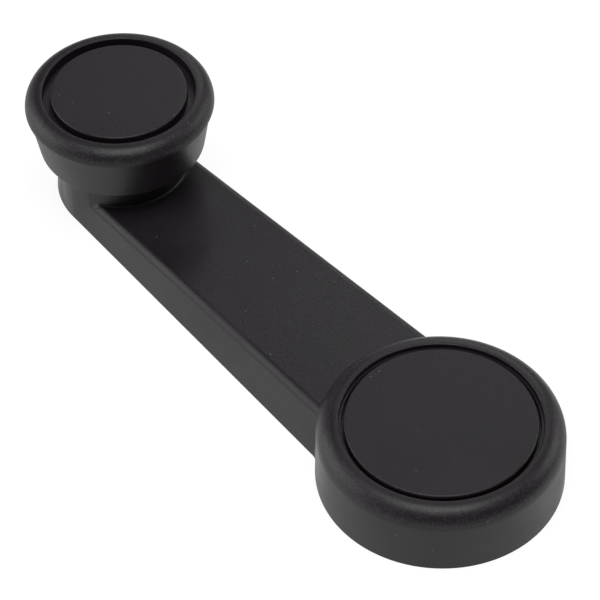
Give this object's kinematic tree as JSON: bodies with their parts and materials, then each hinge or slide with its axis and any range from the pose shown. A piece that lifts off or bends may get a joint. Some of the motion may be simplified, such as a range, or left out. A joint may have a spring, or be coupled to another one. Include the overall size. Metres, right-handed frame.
{
  "type": "car window winder handle",
  "caption": "Car window winder handle: tapered ribbed arm, round hub with a screw and splined insert under a snap-in cap, and a mushroom knob turning freely on a steel pin.",
  "frame": {"origin": "on the underside plane, below the centre of the whole handle's bounding box; the hub axis is at x = -42.9 mm and the knob axis at x = +47.1 mm", "axes": "+X from the hub to the knob, +Z along the hub and knob axes, away from the door"},
  "size_m": [0.129, 0.0432, 0.0255],
  "materials": {
    "black_plastic": "fine grained moulded black plastic, satin",
    "zinc_steel": "bright zinc plated steel",
    "spring_steel": "dark spring steel",
    "nylon": "natural white nylon"
  },
  "bodies": {
    "arm": {"arm_shell": "black_plastic", "spline_insert": "zinc_steel", "screw_washer": "zinc_steel", "hub_screw": "zinc_steel", "hub_cap": "black_plastic", "knob_pin": "zinc_steel", "wave_washer": "spring_steel", "thrust_washer": "zinc_steel", "retaining_clip": "spring_steel"},
    "knob": {"knob_body": "black_plastic", "knob_bush": "nylon", "knob_cap": "black_plastic"}
  },
  "joints": [
    {"name": "knob_spin", "type": "hinge", "parent": "arm", "child": "knob", "pos_m": [0.0471, 0, 0.0134], "axis": [0, 0, 1], "continuous": true}
  ]
}
